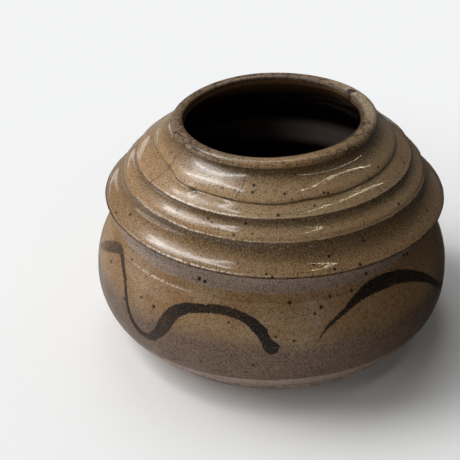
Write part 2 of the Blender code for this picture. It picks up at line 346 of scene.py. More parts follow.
def hand(angle, radius, height):
    """Where the hand leaves a point of the true turned jar."""
    a = np.radians(angle)
    turn = np.mod(angle, 360.0)
    on_course_4 = 1 - ease(height, 107.5, 115.5)
    on_course_3 = ease(height, 102.5, 106.4)
    climb = round_interpolation(angle, CLIMB_ANGLES, CLIMB)
    climb = climb * np.where(height > RIDGE_HEIGHTS[2], on_course_4, on_course_3)
    h = height + climb
    r = radius - climb * CLIMB_SLOPE
    sideways = np.interp(height, STRAY_HEIGHTS, STRAY_SIDEWAYS)
    tilt = np.interp(height, STRAY_HEIGHTS, STRAY_TILT)
    on_lip = ease(height, LIP_JOINT, LIP_JOINT + 1.5)
    sideways = sideways + on_lip * (-0.7 + 1.2 * ease(radius, 48.0, 54.0))
    ledges = 0.35 * hump(height, LEDGE_HEIGHT, 0.7) + 0.2 * hump(height, UPPER_LEDGE_HEIGHT, 0.7)
    r = r + ledges * (radius > OUTER_WALL)
    for level, (size, seed) in zip(RIDGE_HEIGHTS, STEP_BITES):
        r = r + size * hump(height, level + 0.3, 0.9) * chipped(angle, seed)
    size, seed = EDGE_BITES
    r = r + size * hump(height, EDGE_HEIGHT, 1.0) * chipped(angle, seed)
    for crest, level, size in zip(RIDGE_RADII, [EDGE_HEIGHT] + RIDGE_HEIGHTS, ROLL_SWELLS):
        r = r + size * hump(height, level + 0.35, 0.6) * (radius > crest - ROLL_DEPTH)
    size, seed = LIP_BITES
    r = r + on_lip * size * chipped(angle, seed) * ease(radius, 52.0, 54.5)
    at_mouth = ease(height, LIP_BASE - 1.5, LIP_BASE + 1.5) * (1 - ease(radius, 49.5, 52.5))
    for size, middle, width in LIP_FOLDS:
        r = r + at_mouth * size * hump(turn, middle, width)
    for size, middle, width, level, depth in TOUCHES:
        r = r + size * hump(turn, middle, width) * hump(height, level, depth)
    on_foot = ease(height, 5.0, 30.0)
    r = r + on_foot * 0.22 * waver(angle, height, 3, (2, 3, 5), 0.05)
    h = h + on_foot * 0.15 * waver(angle, height, 4, (2, 3, 4))
    x = r * np.cos(a) + sideways
    y = r * np.sin(a)
    z = h + r * np.cos(a) * np.tan(np.radians(tilt))
    return x, y, z


def spin_round(mesh_data, profile):
    """Turns a profile all the way round: a small arc of it is spun, and then doubled until it closes."""
    swing = 2 * math.pi / 2 ** DOUBLINGS
    bmesh.ops.spin(mesh_data, geom=profile, cent=(0, 0, 0), axis=(0, 0, 1), angle=swing,
                   steps=TURN_STEPS // 2 ** DOUBLINGS)
    for _ in range(DOUBLINGS):
        arc_so_far = mesh_data.verts[:] + mesh_data.edges[:] + mesh_data.faces[:]
        copy = bmesh.ops.duplicate(mesh_data, geom=arc_so_far)["geom"]
        copied = [v for v in copy if isinstance(v, bmesh.types.BMVert)]
        bmesh.ops.rotate(mesh_data, verts=copied, matrix=Matrix.Rotation(swing, 3, "Z"))
        swing *= 2
    bmesh.ops.remove_doubles(mesh_data, verts=mesh_data.verts, dist=WELD)


# Iron brushwork: a loose wave round the belly in three strokes and a fleck. Each point has its
# angle, its height, half the brush's width there and how much iron it carried
STROKES = (
    ((189.0, 50.5, 1.6, 0.20), (194.0, 55.0, 2.6, 0.32), (199.0, 58.6, 2.8, 0.38), (203.6, 61.0, 2.2, 0.45),
     (207.0, 61.2, 1.4, 0.55), (210.3, 59.1, 1.2, 0.66), (215.2, 53.7, 1.2, 0.74), (217.8, 46.6, 1.2, 0.80),
     (219.6, 40.4, 1.3, 0.84), (221.3, 35.8, 1.5, 0.84), (223.6, 32.4, 1.7, 0.76), (226.5, 30.6, 1.9, 0.66),
     (230.2, 31.8, 2.2, 0.62), (233.4, 37.0, 3.0, 0.60), (235.5, 42.8, 4.0, 0.60), (237.5, 48.6, 3.9, 0.66),
     (240.5, 52.9, 3.0, 0.76), (243.8, 55.3, 2.4, 0.84), (248.2, 56.3, 2.0, 0.74), (251.4, 57.2, 2.0, 0.72),
     (255.8, 57.3, 2.0, 0.72), (260.1, 56.0, 2.1, 0.76), (263.5, 53.8, 2.5, 0.84), (266.3, 50.2, 3.0, 1.00),
     (268.2, 46.6, 3.6, 1.05), (269.5, 43.2, 4.1, 1.05), (270.1, 40.6, 4.1, 1.00)),
    ((270.6, 47.0, 0.3, 0.90), (271.4, 46.4, 0.5, 0.90), (272.1, 47.0, 0.3, 0.80)),
    ((283.0, 40.2, 0.3, 0.60), (284.8, 44.2, 0.5, 0.62), (286.6, 47.9, 0.7, 0.66), (288.3, 50.2, 1.1, 0.80),
     (290.3, 52.2, 1.0, 0.74), (293.2, 54.6, 1.3, 0.72), (296.8, 57.6, 1.8, 0.78), (300.0, 59.6, 2.5, 0.86),
     (304.0, 60.9, 3.1, 0.90), (309.0, 61.1, 3.4, 0.86), (315.0, 60.2, 3.2, 0.80), (322.0, 56.6, 3.0, 0.80),
     (329.0, 50.0, 2.4, 0.78), (335.0, 41.0, 1.9, 0.74), (341.0, 33.4, 2.0, 0.60), (349.0, 29.8, 2.6, 0.50),
     (356.0, 34.0, 3.4, 0.56), (362.0, 43.6, 3.4, 0.66), (369.0, 52.6, 2.7, 0.78), (377.0, 57.4, 2.2, 0.86),
     (386.0, 58.0, 2.0, 0.86), (394.0, 54.6, 2.4, 0.90), (401.0, 47.6, 2.9, 1.00), (405.0, 41.6, 3.1, 0.96)),
    ((57.0, 39.0, 0.4, 0.60), (62.0, 47.0, 0.9, 0.70), (69.0, 55.0, 2.0, 0.78), (78.0, 60.0, 3.0, 0.86),
     (88.0, 59.6, 3.1, 0.82), (97.0, 52.6, 2.5, 0.78), (104.0, 42.0, 1.8, 0.74), (111.0, 33.0, 2.0, 0.60),
     (120.0, 29.6, 2.8, 0.50), (128.0, 36.4, 3.5, 0.56), (136.0, 48.2, 3.0, 0.72), (145.0, 55.4, 2.3, 0.84),
     (155.0, 56.4, 2.1, 0.86), (163.0, 52.4, 2.6, 0.92), (169.0, 45.6, 3.0, 1.00)),
)
BRUSH_STEPS = 14

# The larger spots of iron: angle, height and radius of each
SHOULDER_SPOTS = (
    (246.0, 110.6, 0.35), (260.4, 110.9, 0.50), (274.8, 110.6, 0.40), (292.2, 108.7, 0.45),
    (294.0, 108.2, 0.45), (271.5, 103.4, 0.50), (277.2, 100.9, 0.55), (259.0, 99.0, 0.50),
    (244.1, 98.3, 0.45), (246.0, 97.4, 0.50), (252.2, 110.9, 0.40), (281.3, 115.9, 0.35),
    (267.3, 80.6, 0.40), (269.1, 79.6, 0.45), (288.3, 84.5, 0.55), (288.8, 80.6, 0.60),
    (302.6, 86.7, 0.50), (208.5, 83.8, 0.60), (249.5, 96.2, 0.35), (255.5, 95.0, 0.40),
    (297.5, 80.2, 0.55), (282.5, 82.6, 0.40), (262.0, 96.0, 0.30), (230.0, 97.6, 0.40),
    (286.6, 104.9, 0.35), (20.0, 97.0, 0.5), (48.0, 84.0, 0.6), (71.0, 109.0, 0.4), (95.0, 95.0, 0.5),
    (128.0, 82.0, 0.6), (150.0, 108.0, 0.4), (171.0, 95.0, 0.5), (338.0, 83.0, 0.5),
)
BELLY_SPOTS = (
    (244.0, 67.8, 0.75), (246.3, 67.3, 0.60), (230.7, 49.7, 0.70), (257.0, 52.3, 0.35), (275.8, 62.0, 0.60),
    (285.9, 58.5, 0.65), (289.2, 62.4, 0.50), (203.9, 54.2, 0.60), (268.0, 44.0, 0.4), (214.0, 62.5, 0.4),
    (297.0, 62.6, 0.50), (262.0, 24.0, 0.5), (238.0, 22.0, 0.5), (248.0, 27.0, 0.4), (10.0, 64.0, 0.6),
    (35.0, 50.0, 0.5), (66.0, 66.0, 0.7), (92.0, 40.0, 0.6), (121.0, 60.0, 0.5), (152.0, 33.0, 0.7),
    (177.0, 62.0, 0.5), (325.0, 66.0, 0.6), (345.0, 45.0, 0.5),
)
# Pale blooms and dark smudges: angle, height, half width, half height, strength
SHOULDER_BLOOMS = ((282.3, 89.3, 2.2, 1.2, 0.75), (282.2, 85.2, 2.2, 0.7, 0.55))
SHOULDER_SMUDGES = ((233.4, 105.6, 2.3, 1.6, 0.85), (213.0, 107.2, 2.2, 1.6, 0.6),
                    (205.5, 113.2, 2.0, 1.2, 0.5), (228.0, 92.0, 5.0, 0.9, 0.7))
BELLY_BLOOMS = ((283.0, 60.5, 2.6, 3.6, 0.70), (283.3, 52.5, 3.6, 7.0, 0.55),
                (290.0, 63.6, 2.0, 1.0, 0.5))
# The dark mark over the fold in the lip, in metres
FOLD_PLACE = (0.0430, 0.0262, 0.1226)
# How far from a stroke or a crack its distance is still told
FAR_OFF = 9.0

# Painted highlight lines on the crests, where the glaze also broke pale: height, width, strength
CREST_HIGHLIGHT_LINES = ((RIDGE_HEIGHTS[1] + 1.1, 0.3, 0.8), (RIDGE_HEIGHTS[0] + 1.0, 0.3, 0.8),
               (EDGE_HEIGHT + 1.3, 0.28, 0.9))

# Fine cracks in the glaze, each through points of angle and height
CRACKS = (
    ((258.6, 122.6), (256.2, 116.5), (255.3, 112.3), (252.9, 107.6)),
    ((274.7, 123.0), (275.3, 121.0)),
    ((316.0, 109.9), (317.6, 106.0), (318.6, 101.9)),
    ((208.8, 115.9), (213.2, 109.9), (211.9, 104.5), (209.2, 100.0)),
    ((118.0, 116.0), (121.5, 110.0), (121.0, 106.8)),
    ((38.0, 100.8), (36.5, 96.0), (37.0, 92.6)),
    ((62.0, 122.6), (60.5, 116.6), (61.0, 111.0)),
)


def near_paths(across, height, paths):
    """For each point, its distance to the nearest path, its side, and the path's values there.

    A path is an array of place across, height and further values. The side is positive
    to the left of the path's direction.
    """
    best = np.full(len(across), 1e9)
    side = np.zeros(len(across))
    values = np.zeros((len(across), paths[0].shape[1] - 2))
    at = np.stack([across, height], -1)
    for path in paths:
        close = ((across > path[:, 0].min() - FAR_OFF) & (across < path[:, 0].max() + FAR_OFF)
                 & (height > path[:, 1].min() - FAR_OFF) & (height < path[:, 1].max() + FAR_OFF))
        index = np.flatnonzero(close)
        if not len(index):
            continue
        place = at[index]
        for first, second in zip(path[:-1], path[1:]):
            run = second[:2] - first[:2]
            t = np.clip(((place - first[:2]) @ run) / (run @ run), 0.0, 1.0)
            away = place - (first[:2] + t[:, None] * run)
            distance = np.hypot(away[:, 0], away[:, 1])
            nearer = distance < best[index]
            chosen = index[nearer]
            best[chosen] = distance[nearer]
            side[chosen] = np.sign(run[0] * away[nearer, 1] - run[1] * away[nearer, 0])
            values[chosen] = first[2:] + t[nearer, None] * (second[2:] - first[2:])
    return best, side, values


def laid_out(paths, radius):
    """Paths of angle and height as paths over the unrolled belly, also one turn before and after."""
    flat = []
    for path in paths:
        points = np.array(path, float)
        points[:, 0] *= math.radians(1.0) * radius
        for turns in (-1, 0, 1):
            moved = points.copy()
            moved[:, 0] += turns * 2 * math.pi * radius
            flat.append(moved)
    return flat


def brush_marks(angle, height):
    """Where a point lies in the brushwork: edge distance, place along, place across, iron load."""
    paths = []
    for stroke in STROKES:
        path = smooth_through(stroke, BRUSH_STEPS)
        run = np.hypot(np.diff(path[:, 0]) * math.radians(BELLY_RADIUS), np.diff(path[:, 1]))
        paths.append(np.column_stack([path, np.concatenate([[0.0], np.cumsum(run)])]))
    across = np.radians(np.mod(angle, 360.0)) * BELLY_RADIUS
    distance, side, values = near_paths(across, height, laid_out(paths, BELLY_RADIUS))
    half_width, load, along = values.T
    edge = np.clip(distance - half_width, -FAR_OFF, FAR_OFF)
    return {"ink_edge": edge, "ink_along": along, "ink_across": side * distance, "ink_load": load}


def crack_marks(angle, height):
    """Signed distance to the nearest crack in millimetres, and how strong it is there."""
    degree = math.radians(1.0) * RIDGE_RADII[3]
    paths = []
    for crack in CRACKS:
        path = even(np.array(crack) * (degree, 1.0), 1.0) / (degree, 1.0)
        from_start = np.arange(len(path))
        paths.append(np.column_stack([path, np.minimum(from_start, from_start[::-1])]))
    across = np.mod(angle, 360.0) * degree
    distance, side, values = near_paths(across, height, laid_out(paths, RIDGE_RADII[3]))
    near = ease(values[:, 0], 0.0, 1.5) * (1 - ease(distance, 2.0, 4.0))
    return {"crack_side": np.clip(side * distance, -FAR_OFF, FAR_OFF), "crack_near": near}


def pooled_and_shaded(height):
    """How deep the glaze pooled, a brown that also stands for painted shade: 1 in the valley under each
    ridge and in the groove under the lip, 0 on the crest below it.
    """
    ends = [EDGE_HEIGHT] + RIDGE_HEIGHTS + [LIP_JOINT]
    pool = np.zeros(len(height))
    for low, high in zip(ends[:-1], ends[1:]):
        share = (height - low) / (high - low)
        depth = 0.25 if high == RIDGE_HEIGHTS[2] else 1.0
        pool = np.where((share >= 0.0) & (share <= 1.0), depth * ease(share, 0.30, 0.95), pool)
    return np.where(height > LIP_JOINT, ease(height, LIP_JOINT + 1.2, LIP_JOINT), pool)


def lapped(height):
    """1 on the thin dark line at the foot of each course and at the edge, a joint line that is also painted
    shade on the lower face of each rolled edge; 0 elsewhere.
    """
    line = np.zeros(len(height))
    for level in RIDGE_HEIGHTS:
        line = np.maximum(line, hump(height, level + 0.5, 0.28))
    return np.maximum(line, 1.5 * hump(height, EDGE_HEIGHT + 0.5, 0.42))


def crest_highlight(angle, height):
    """1 on the thin pale line where the glaze broke over a crest, brightened into a painted highlight that
    is strongest on the lit left front, and on a painted highlight along the ledge there; 0 elsewhere.
    """
    turn = np.mod(angle, 360.0)
    line = np.zeros(len(height))
    for level, width, strength in CREST_HIGHLIGHT_LINES:
        line = np.maximum(line, strength * hump(height, level, width))
    line = line * (0.12 + 0.88 * hump(turn, 239.0, 20.0))
    return np.maximum(line, hump(height, LEDGE_HEIGHT + 0.4, 0.35) * hump(turn, 230.0, 13.0))


def set_marks(mesh, marks):
    """Stores named values on the points of a mesh."""
    for name, values in marks.items():
        attribute = mesh.attributes.get(name) or mesh.attributes.new(name, "FLOAT", "POINT")
        attribute.data.foreach_set("value", np.asarray(values, np.float32))


def turned(node, loops, slot, material):
    """A section turned from a closed profile: its runs of points, each with whether it is inside."""
    mesh_data = bmesh.new()
    inside = mesh_data.verts.layers.float.new("inside")
    verts = []
    for points, is_inside in loops:
        for radius, height in points:
            if verts and (verts[-1].co - Vector((radius, 0, height))).length < SAME_POINT:
                continue
            v = mesh_data.verts.new((radius, 0.0, height))
            v[inside] = is_inside
            verts.append(v)
    if (verts[0].co - verts[-1].co).length < SAME_POINT:
        mesh_data.verts.remove(verts.pop())
    on_axis = abs(verts[0].co.x) < SAME_POINT
    pairs = list(zip(verts, verts[1:])) + ([] if on_axis else [(verts[-1], verts[0])])
    edges = [mesh_data.edges.new(pair) for pair in pairs]
    spin_round(mesh_data, verts + edges)
    bmesh.ops.recalc_face_normals(mesh_data, faces=mesh_data.faces)
    mesh = bpy.data.meshes.new(node + "_clay")
    mesh_data.to_mesh(mesh)
    mesh_data.free()
    at = np.empty(len(mesh.vertices) * 3, np.float32)
    mesh.vertices.foreach_get("co", at)
    at = at.reshape(-1, 3).astype(float)
    angle = np.degrees(np.arctan2(at[:, 1], at[:, 0]))
    radius = np.hypot(at[:, 0], at[:, 1])
    height = at[:, 2]
    is_inside = np.empty(len(mesh.vertices), np.float32)
    mesh.attributes["inside"].data.foreach_get("value", is_inside)
    set_marks(mesh, {"level": height, "crest": crest_highlight(angle, height)})
    if slot in ("belly_glaze", "waist_glaze"):
        marks = brush_marks(angle, height)
        marks["ink_edge"] = np.where(is_inside > 0.5, FAR_OFF, marks["ink_edge"])
        set_marks(mesh, marks)
    if slot in ("shoulder_glaze", "lip_glaze"):
        marks = crack_marks(angle, height)
        marks["pool"] = pooled_and_shaded(height)
        marks["lap"] = lapped(height)
        marks["crack_near"] = np.where(is_inside > 0.5, 0.0, marks["crack_near"])
        set_marks(mesh, marks)
    moved = np.stack(hand(angle, radius, height), -1) * MM
    mesh.vertices.foreach_set("co", moved.astype(np.float32).ravel())
    mesh.update()
    mesh.shade_smooth()
    mesh.set_sharp_from_angle(angle=math.radians(SHARP_ANGLE))
    mesh.materials.append(material)
    piece = bpy.data.objects.new(node + "_clay", mesh)
    bpy.context.scene.collection.objects.link(piece)
    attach(piece, "root")
    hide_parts(node)


def feed(tree, node, inputs):
    """Gives inputs of a node a fixed value or a link."""
    for key, value in inputs.items():
        if isinstance(value, bpy.types.NodeSocket):
            tree.links.new(value, node.inputs[key])
        else:
            node.inputs[key].default_value = value


def add(tree, kind, inputs=None, **settings):
    """A node with its settings and its inputs."""
    node = tree.nodes.new(kind)
    for key, value in settings.items():
        setattr(node, key, value)
    feed(tree, node, inputs or {})
    return node


def number(tree, operation, first, second=0.0, third=0.0, clamp=False):
    """Arithmetic on plain numbers."""
    return add(tree, "ShaderNodeMath", {0: first, 1: second, 2: third}, operation=operation,
               use_clamp=clamp).outputs[0]


def times(tree, first, second):
    """The product of two numbers."""
    return number(tree, "MULTIPLY", first, second)


def scaled(tree, value, factor, added):
    """A number times a factor, with another one added."""
    return number(tree, "MULTIPLY_ADD", value, factor, added)


def along(tree, place, axis):
    """One coordinate of a place."""
    return add(tree, "ShaderNodeSeparateXYZ", {"Vector": place}).outputs[axis]


def vector(tree, operation, first, second=(0, 0, 0)):
    """Arithmetic on places. A distance, a length and a dot product are plain numbers."""
    node = add(tree, "ShaderNodeVectorMath", {0: first, 1: second}, operation=operation)
    return node.outputs["Value" if operation in ("DISTANCE", "LENGTH", "DOT_PRODUCT") else "Vector"]


def fade(tree, value, low, high, start=0.0, end=1.0):
    """A smooth change from start at low to end at high."""
    return add(tree, "ShaderNodeMapRange", {0: value, 1: low, 2: high, 3: start, 4: end},
               interpolation_type="SMOOTHSTEP").outputs[0]


def tint(tree, amount, under, over):
    """One colour laid over another."""
    def as_input(colour):
        return colour if isinstance(colour, bpy.types.NodeSocket) else (*colour, 1)
    node = add(tree, "ShaderNodeMix", {0: amount, 6: as_input(under), 7: as_input(over)}, data_type="RGBA")
    return node.outputs[2]


def grain(tree, place, size, detail=2.0, roughness=0.5):
    """Noise whose features are about a size in millimetres."""
    return add(tree, "ShaderNodeTexNoise", {"Vector": place, "Scale": 1.0 / (size * MM), "Detail": detail,
               "Roughness": roughness}).outputs["Fac"]


def srgb(red, green, blue):
    """A colour as the eye reads it, 0 to 255, as the linear values that shaders take."""
    return tuple((c / 255 / 12.92) if c <= 10.3 else ((c / 255 + 0.055) / 1.055) ** 2.4
                 for c in (red, green, blue))


TAN = srgb(168, 139, 104)
ORANGE = srgb(165, 129, 90)
OLIVE = srgb(148, 129, 98)
LOW_TAN = srgb(122, 90, 56)
VALLEY_BROWN = srgb(64, 46, 28)
DARK_GRAIN = srgb(54, 40, 27)
PALE_GRAIN = srgb(186, 160, 120)
WAIST_PURPLE = srgb(150, 130, 117)
BELLY_BROWN = srgb(143, 110, 76)
BELLY_PALE = srgb(154, 127, 94)
LOW_PURPLE = srgb(110, 88, 74)
HEEL_PALE = srgb(168, 150, 137)
RIM_BROWN = srgb(84, 56, 30)
LIP_BROWN = srgb(92, 72, 54)
LIP_PALE = srgb(192, 170, 146)
IRON = srgb(24, 19, 17)
IRON_THIN = srgb(58, 45, 36)
BLOOM = srgb(164, 164, 160)
INSIDE_DARK = srgb(42, 30, 21)
INSIDE_BROWN = srgb(92, 66, 42)
# Pale mauve of the painted light on the right inner wall
INSIDE_LIT_MAUVE = srgb(226, 206, 198)
CRACKLE = srgb(40, 32, 28)
# Near white of the painted highlights along the crests
CREST_HIGHLIGHT = srgb(244, 232, 214)
BARE = srgb(190, 172, 158)
BARE_DARK = srgb(138, 120, 106)
POOLED_IRON = srgb(22, 18, 15)

# How the glazes shine: the glass on top is smoother and flatter than the body below
BODY_SHEEN = 0.25
COAT_ROUGHNESS = 0.045
COAT_PEEL = 0.14
# Cells of the lip's crackle in a metre
CRACKLE_CELLS = 190.0


def blank(name):
    """A new material without colour yet, its tree, its shader and the place of a point on it."""
    material = bpy.data.materials.new(name)
    material.use_nodes = True
    tree = material.node_tree
    place = add(tree, "ShaderNodeTexCoord").outputs["Object"]
    return material, tree, tree.nodes["Principled BSDF"], place


def mark(tree, name):
    """A named value of the surface."""
    return add(tree, "ShaderNodeAttribute", attribute_name=name).outputs["Fac"]


def stretched(tree, place, scale):
    """The place with each axis stretched, so that grain on it lies in bands."""
    return add(tree, "ShaderNodeMapping", {"Vector": place, "Scale": scale}).outputs[0]


def add_iron_spots(tree, place, colour, size, share, seed):
    """Small dark spots of iron that broke through the glaze, with a rusty edge."""
    moved = vector(tree, "ADD", place, (seed, seed * 0.7, seed * 1.3))
    cells = add(tree, "ShaderNodeTexVoronoi",
                {"Vector": moved, "Scale": 1.0 / (size * 7 * MM), "Randomness": 1.0})
    chance = add(tree, "ShaderNodeSeparateColor", {"Color": cells.outputs["Color"]})
    radius = fade(tree, chance.outputs[0], 1 - share, 1.0, 0.0, 0.17)
    ragged = scaled(tree, grain(tree, place, size * 0.6), 0.10, -0.05)
    distance = number(tree, "ADD", cells.outputs["Distance"], ragged)
    spot = fade(tree, number(tree, "SUBTRACT", radius, distance), -0.01, 0.035)
    rust = fade(tree, number(tree, "SUBTRACT", radius, distance), -0.09, 0.02, 0.0, 0.45)
    rust = times(tree, rust, number(tree, "GREATER_THAN", radius, 0.02))
    spot = times(tree, spot, number(tree, "GREATER_THAN", radius, 0.02))
    return tint(tree, spot, tint(tree, rust, colour, RIM_BROWN), IRON)


def on_surface(angle, level):
    """Where a point of the true outside lies on the finished jar, in metres."""
    outline = np.vstack(list(OUTSIDES.values()))[::-1]
    radius = np.interp(level, outline[:, 1], outline[:, 0])
    x, y, z = hand(np.array([angle]), np.array([radius]), np.array([level]))
    return x[0] * MM, y[0] * MM, z[0] * MM


def add_placed_spots(tree, place, colour, spots):
    """The larger iron spots, each pitted black with a rusty edge."""
    most = -1.0
    for angle, level, radius in spots:
        away = vector(tree, "DISTANCE", place, on_surface(angle, level))
        most = number(tree, "MAXIMUM", number(tree, "SUBTRACT", radius * MM, away), most)
    most = scaled(tree, grain(tree, place, 0.5), 0.9 * MM, most)
    rust = fade(tree, most, -0.5 * MM, 0.3 * MM, 0.0, 0.55)
    spot = fade(tree, most, 0.26 * MM, 0.36 * MM)
    return tint(tree, spot, tint(tree, rust, colour, RIM_BROWN), IRON)


def add_patches(tree, place, colour, patches, over, low=0.46, high=0.62):
    """Small broken patches of another colour."""
    craze = fade(tree, grain(tree, place, 0.9, 3.0, 0.7), low, high)
    for angle, level, half_width, half_height, strength in patches:
        from_middle = vector(tree, "SUBTRACT", place, on_surface(angle, level))
        scale = (1 / (half_width * MM), 1 / (half_width * MM), 1 / (half_height * MM))
        reach = vector(tree, "LENGTH", vector(tree, "MULTIPLY", from_middle, scale))
        here = times(tree, fade(tree, reach, 1.1, 0.3, 0.0, strength), craze)
        colour = tint(tree, here, colour, over)
    return colour


def add_speckle(tree, place, colour, dark, pale):
    """The fine salt and pepper of a wood-ash glaze over iron clay: its colour and its grain."""
    fine = grain(tree, place, 0.58, 1.0, 0.6)
    coarse = grain(tree, place, 2.0, 2.0, 0.6)
    darker = fade(tree, scaled(tree, coarse, 0.5, fine), 0.76, 0.56, 0.0, dark)
    paler = fade(tree, fine, 0.52, 0.70, 0.0, pale)
    return tint(tree, paler, tint(tree, darker, colour, DARK_GRAIN), PALE_GRAIN), fine


def add_surface(tree, shader, place, fine, height_of_peel, roughness, coat=0.0):
    """Gloss that varies, and the slight pebbling of the fired glaze."""
    gloss = fade(tree, grain(tree, place, 14.0, 3.0), 0.3, 0.7, roughness * 0.8, roughness * 1.25)
    feed(tree, shader, {"Roughness": gloss, "Specular IOR Level": BODY_SHEEN, "Coat Weight": coat,
                        "Coat Roughness": COAT_ROUGHNESS})
    relief = scaled(tree, fine, 0.35, grain(tree, place, 1.7))
    for depth, layer in ((height_of_peel, "Normal"), (height_of_peel * COAT_PEEL, "Coat Normal")):
        bump = add(tree, "ShaderNodeBump", {"Strength": 1.0, "Distance": depth * MM, "Height": relief})
        feed(tree, shader, {layer: bump.outputs[0]})


def darken_inside(tree, shader, place, colour):
    """The inside: brown under the mouth, near black below, with painted light, a pale mauve patch, on the
    right wall.
    """
    level = mark(tree, "level")
    dark = tint(tree, fade(tree, level, 106.0, 121.0), INSIDE_DARK, INSIDE_BROWN)
    # Painted light: a pale mauve patch on the right inner wall, between these heights
    right = vector(tree, "DOT_PRODUCT", place, (0.72, 0.69, 0.0))
    painted_light_band = times(tree, fade(tree, level, 63.0, 72.0), fade(tree, level, 86.0, 78.0))
    spread = number(tree, "ADD", fade(tree, right, 48 * MM, 72 * MM, 0.0, 0.8),
                    fade(tree, right, 5 * MM, 55 * MM, 0.02, 0.14))
    painted_light_band = times(tree, painted_light_band, spread)
    dark = tint(tree, painted_light_band, dark, INSIDE_LIT_MAUVE)
    inside = fade(tree, mark(tree, "inside"), 0.2, 0.8)
    feed(tree, shader, {"Base Color": tint(tree, inside, colour, dark)})


def ash_colour(tree, place):
    """Olive-tan ash glaze, drifting and streaked, browner where it pooled; that brown under each ridge is
    also painted shade.
    """
    drift = grain(tree, place, 38.0)
    streaks = grain(tree, stretched(tree, place, (1.0, 1.0, 9.0)), 30.0, 3.0)
    colour = tint(tree, fade(tree, drift, 0.38, 0.62), TAN, ORANGE)
    colour = tint(tree, fade(tree, streaks, 0.50, 0.72, 0.0, 0.65), colour, OLIVE)
    colour = tint(tree, fade(tree, mark(tree, "level"), 97.0, 90.0, 0.0, 0.6), colour, LOW_TAN)
    # Brown in each valley under a ridge and in the groove under the lip: pooled glaze and painted shade
    return tint(tree, times(tree, mark(tree, "pool"), 0.75), colour, VALLEY_BROWN)


def add_crest_highlight(tree, place, colour, strength):
    """The painted highlight along a crest: a pale broken line."""
    broken = fade(tree, grain(tree, place, 1.3), 0.40, 0.56, 0.0, strength)
    return tint(tree, times(tree, mark(tree, "crest"), broken), colour, CREST_HIGHLIGHT)


def add_cracks(tree, place, colour):
    """The few long cracks, each a fine dark line."""
    side = number(tree, "ABSOLUTE", mark(tree, "crack_side"))
    wander = scaled(tree, grain(tree, place, 3.0), 0.5, -0.25)
    line = fade(tree, number(tree, "ADD", side, wander), 0.32, 0.12)
    line = times(tree, line, mark(tree, "crack_near"))
    return tint(tree, times(tree, line, 0.9), colour, IRON)


def shoulder_finish():
    """Olive-tan ash glaze over the shoulder courses: speckled, glossy, with iron spots."""
    material, tree, shader, place = blank("shoulder ash glaze")
    colour, fine = add_speckle(tree, place, ash_colour(tree, place), 0.70, 0.66)
    # Dark line on the lower face of each rolled edge, rust-brown with broken black: a joint line and painted
    # shade
    lap = number(tree, "MULTIPLY", mark(tree, "lap"), 0.8, clamp=True)
    colour = tint(tree, lap, colour, RIM_BROWN)
    broken = fade(tree, grain(tree, place, 3.2), 0.40, 0.58)
    colour = tint(tree, times(tree, lap, broken), colour, CRACKLE)
    # Painted highlight along the crests
    colour = add_crest_highlight(tree, place, colour, 1.0)
    colour = add_patches(tree, place, colour, SHOULDER_BLOOMS, BLOOM)
    colour = add_patches(tree, place, colour, SHOULDER_SMUDGES, VALLEY_BROWN, 0.25, 0.5)
    colour = add_cracks(tree, place, colour)
    colour = add_iron_spots(tree, place, colour, 0.7, 0.16, 0.0)
    colour = add_placed_spots(tree, place, colour, SHOULDER_SPOTS)
    darken_inside(tree, shader, place, colour)
    add_surface(tree, shader, place, fine, 0.10, 0.40, 0.85)
    return material


def lip_finish():
    """The same glaze over the lip, browner at both sides and at the back with a dark crackle there, and
    paler on the right with painted light.
    """
    material, tree, shader, place = blank("lip ash glaze")
    colour = ash_colour(tree, place)
    at_side = fade(tree, number(tree, "ABSOLUTE", along(tree, place, "X")), 8 * MM, 42 * MM)
    at_back = fade(tree, along(tree, place, "Y"), -20 * MM, 25 * MM)
    sides_and_back = number(tree, "MAXIMUM", at_side, at_back)
    blotch = grain(tree, place, 3.6, 4.0, 0.7)
    colour = tint(tree, fade(tree, blotch, 0.42, 0.66, 0.05, 0.70), colour, LIP_BROWN)
    colour = tint(tree, times(tree, sides_and_back, 0.45), colour, LIP_BROWN)
    # Paler on the right part of the lip where the light falls: painted light, with less crackle there
    right = vector(tree, "DOT_PRODUCT", place, (0.93, 0.37, 0.0))
    lit_right_side = fade(tree, right, 38 * MM, 50 * MM)
    colour = tint(tree, times(tree, lit_right_side, 0.7), colour, LIP_PALE)
    colour, fine = add_speckle(tree, place, colour, 0.85, 0.45)
    cells = add(tree, "ShaderNodeTexVoronoi", {"Vector": place, "Scale": CRACKLE_CELLS},
                feature="DISTANCE_TO_EDGE")
    jitter = scaled(tree, grain(tree, place, 1.6, 3.0), 0.12, -0.06)
    crackle = fade(tree, number(tree, "ADD", cells.outputs["Distance"], jitter), 0.10, 0.03)
    some = fade(tree, grain(tree, place, 7.0), 0.34, 0.50)
    some = times(tree, some, scaled(tree, lit_right_side, -0.7, 1.0))
    crackle = times(tree, crackle, times(tree, some, sides_and_back))
    colour = tint(tree, times(tree, crackle, 0.9), colour, CRACKLE)
    reach = vector(tree, "LENGTH", vector(tree, "MULTIPLY", place, (1.0, 1.0, 0.0)))
    colour = tint(tree, fade(tree, reach, 50.4 * MM, 47.6 * MM, 0.0, 0.75), colour, INSIDE_DARK)
    away = vector(tree, "DISTANCE", place, FOLD_PLACE)
    away = scaled(tree, grain(tree, place, 1.4, 3.0), 2.4 * MM, away)
    colour = tint(tree, fade(tree, away, 4.8 * MM, 3.2 * MM, 0.0, 0.95), colour, CRACKLE)
    colour = add_cracks(tree, place, colour)
    darken_inside(tree, shader, place, colour)
    add_surface(tree, shader, place, fine, 0.12, 0.42, fade(tree, reach, 48.6 * MM, 51.0 * MM, 0.12, 0.7))
    return material


